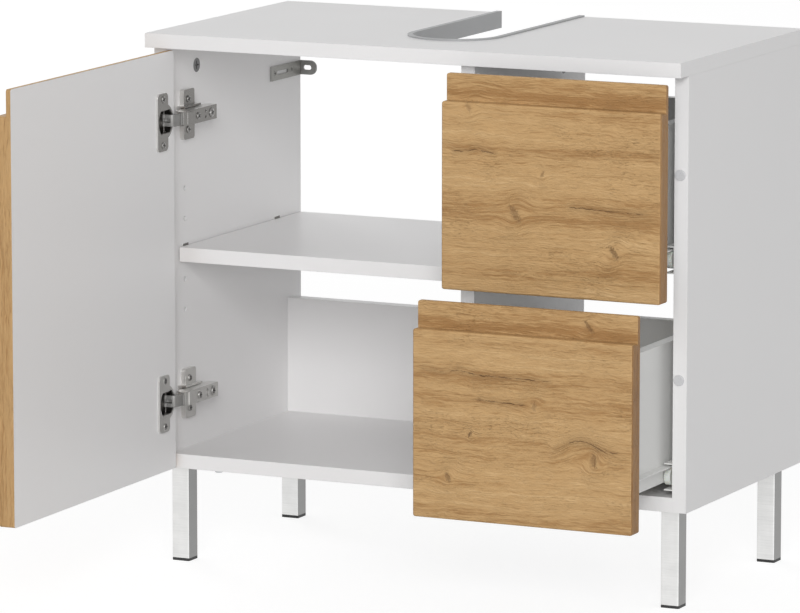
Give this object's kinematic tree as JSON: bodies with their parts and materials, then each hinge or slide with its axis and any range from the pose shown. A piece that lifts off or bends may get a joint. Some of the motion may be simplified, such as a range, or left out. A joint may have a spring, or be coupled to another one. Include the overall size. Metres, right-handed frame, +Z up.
{
  "type": "vanity base cabinet",
  "caption": "Washbasin base cabinet with siphon cut-out, one oak decor door on cup hinges, a shelf, drawers on roller runners and square steel legs.",
  "frame": {"origin": "On the floor, on the cabinet's vertical mid-plane, halfway between the top panel's front and rear edges.", "axes": "+X to the right seen from the front, +Y from the front to the rear (the wall), +Z up."},
  "size_m": [0.6, 0.6732, 0.5605],
  "materials": {
    "white_board": "white melamine",
    "oak_front": "light oak decor",
    "drawer_board": "white melamine",
    "drawer_base": "white laminated fibreboard",
    "dowel_wood": "beech",
    "zinc_steel": "zinc plated",
    "runner_steel": "white epoxy coat",
    "roller_plastic": "nylon",
    "edging_plastic": "grey plastic",
    "pad_plastic": "black plastic",
    "bumper_plastic": "clear grey",
    "leg_steel": "brushed",
    "bracket_steel": "dark zinc",
    "nickel_steel": "nickel plated"
  },
  "bodies": {
    "cabinet": {"top_panel": "white_board", "left_side": "white_board", "right_side": "white_board", "bottom_panel": "white_board", "divider": "white_board", "rear_rail": "white_board", "shelf": "white_board", "shelf_supports": "nickel_steel", "cutout_edging": "edging_plastic", "cam_locks": "zinc_steel", "cam_bolts": "zinc_steel", "dowels": "dowel_wood", "confirmat_screws": "zinc_steel", "leg_front_left": "leg_steel", "leg_front_right": "leg_steel", "leg_rear_left": "leg_steel", "leg_rear_right": "leg_steel", "leg_plates": "leg_steel", "leg_plate_screws": "zinc_steel", "foot_pads": "pad_plastic", "wall_brackets": "bracket_steel", "wall_bracket_screws": "zinc_steel", "bumpers": "bumper_plastic", "runner_screws": "zinc_steel", "hinge_plates": "nickel_steel", "hinge_plate_screws": "zinc_steel", "hinge_arms": "nickel_steel", "hinge_arm_screws": "zinc_steel", "hinge_pins": "nickel_steel", "upper_cabinet_rails": "runner_steel", "lower_cabinet_rails": "runner_steel"},
    "hinge_links": {"hinge_outer_links": "nickel_steel"},
    "hinge_inner": {"hinge_inner_links": "nickel_steel"},
    "door": {"door_panel": "oak_front", "hinge_cups": "nickel_steel", "cup_screws": "zinc_steel"},
    "upper_drawer": {"upper_drawer_front": "oak_front", "upper_drawer_left_side": "drawer_board", "upper_drawer_right_side": "drawer_board", "upper_drawer_back": "drawer_board", "upper_drawer_base": "drawer_base", "upper_drawer_dowels": "dowel_wood", "upper_drawer_screws": "zinc_steel", "upper_drawer_rails": "runner_steel"},
    "lower_drawer": {"lower_drawer_front": "oak_front", "lower_drawer_left_side": "drawer_board", "lower_drawer_right_side": "drawer_board", "lower_drawer_back": "drawer_board", "lower_drawer_base": "drawer_base", "lower_drawer_dowels": "dowel_wood", "lower_drawer_screws": "zinc_steel", "lower_drawer_rails": "runner_steel"},
    "upper_front_roller_pair": {"upper_front_rollers": "roller_plastic"},
    "upper_rear_roller_pair": {"upper_rear_rollers": "roller_plastic"},
    "lower_front_roller_pair": {"lower_front_rollers": "roller_plastic"},
    "lower_rear_roller_pair": {"lower_rear_rollers": "roller_plastic"}
  },
  "joints": [
    {"name": "door_swing", "type": "hinge", "parent": "hinge_links", "child": "door", "pos_m": [-0.27979, -0.1626, 0.3218], "axis": [0, 0, 1], "range_deg": [-3.54, 126.07]},
    {"name": "link_swing", "type": "hinge", "parent": "cabinet", "child": "hinge_links", "pos_m": [-0.26808, -0.14506, 0.3218], "axis": [0, 0, 1], "range_deg": [-37.09, 1.06]},
    {"name": "inner_link_swing", "type": "hinge", "parent": "cabinet", "child": "hinge_inner", "pos_m": [-0.27555, -0.13833, 0.3218], "axis": [0, 0, 1], "range_deg": [-33.36, 0.96]},
    {"name": "upper_slide", "type": "slide", "parent": "cabinet", "child": "upper_drawer", "axis": [0, -1, 0], "range_m": [-0.05, 0.135]},
    {"name": "lower_slide", "type": "slide", "parent": "cabinet", "child": "lower_drawer", "axis": [0, -1, 0], "range_m": [-0.117, 0.068]},
    {"name": "upper_front_roller_spin", "type": "hinge", "parent": "cabinet", "child": "upper_front_roller_pair", "pos_m": [0.17517, -0.132, 0.357], "axis": [1, 0, 0], "range_deg": [-301.66, 814.3]},
    {"name": "upper_rear_roller_spin", "type": "hinge", "parent": "upper_drawer", "child": "upper_rear_roller_pair", "pos_m": [0.17517, 0.051, 0.3544], "axis": [1, 0, 0], "range_deg": [-301.66, 814.3]},
    {"name": "lower_front_roller_spin", "type": "hinge", "parent": "cabinet", "child": "lower_front_roller_pair", "pos_m": [0.17517, -0.132, 0.1363], "axis": [1, 0, 0], "range_deg": [-705.74, 410.22]},
    {"name": "lower_rear_roller_spin", "type": "hinge", "parent": "lower_drawer", "child": "lower_rear_roller_pair", "pos_m": [0.17517, -0.016, 0.1337], "axis": [1, 0, 0], "range_deg": [-705.74, 410.22]}
  ],
  "couplings": [
    {"joint": "link_swing", "follows": "door_swing", "ratio": -0.29403},
    {"joint": "inner_link_swing", "follows": "door_swing", "ratio": -0.26443},
    {"joint": "upper_front_roller_spin", "follows": "upper_slide", "rad_per_m": 105.26},
    {"joint": "upper_rear_roller_spin", "follows": "upper_slide", "rad_per_m": 105.26},
    {"joint": "lower_front_roller_spin", "follows": "lower_slide", "rad_per_m": 105.26},
    {"joint": "lower_rear_roller_spin", "follows": "lower_slide", "rad_per_m": 105.26}
  ]
}
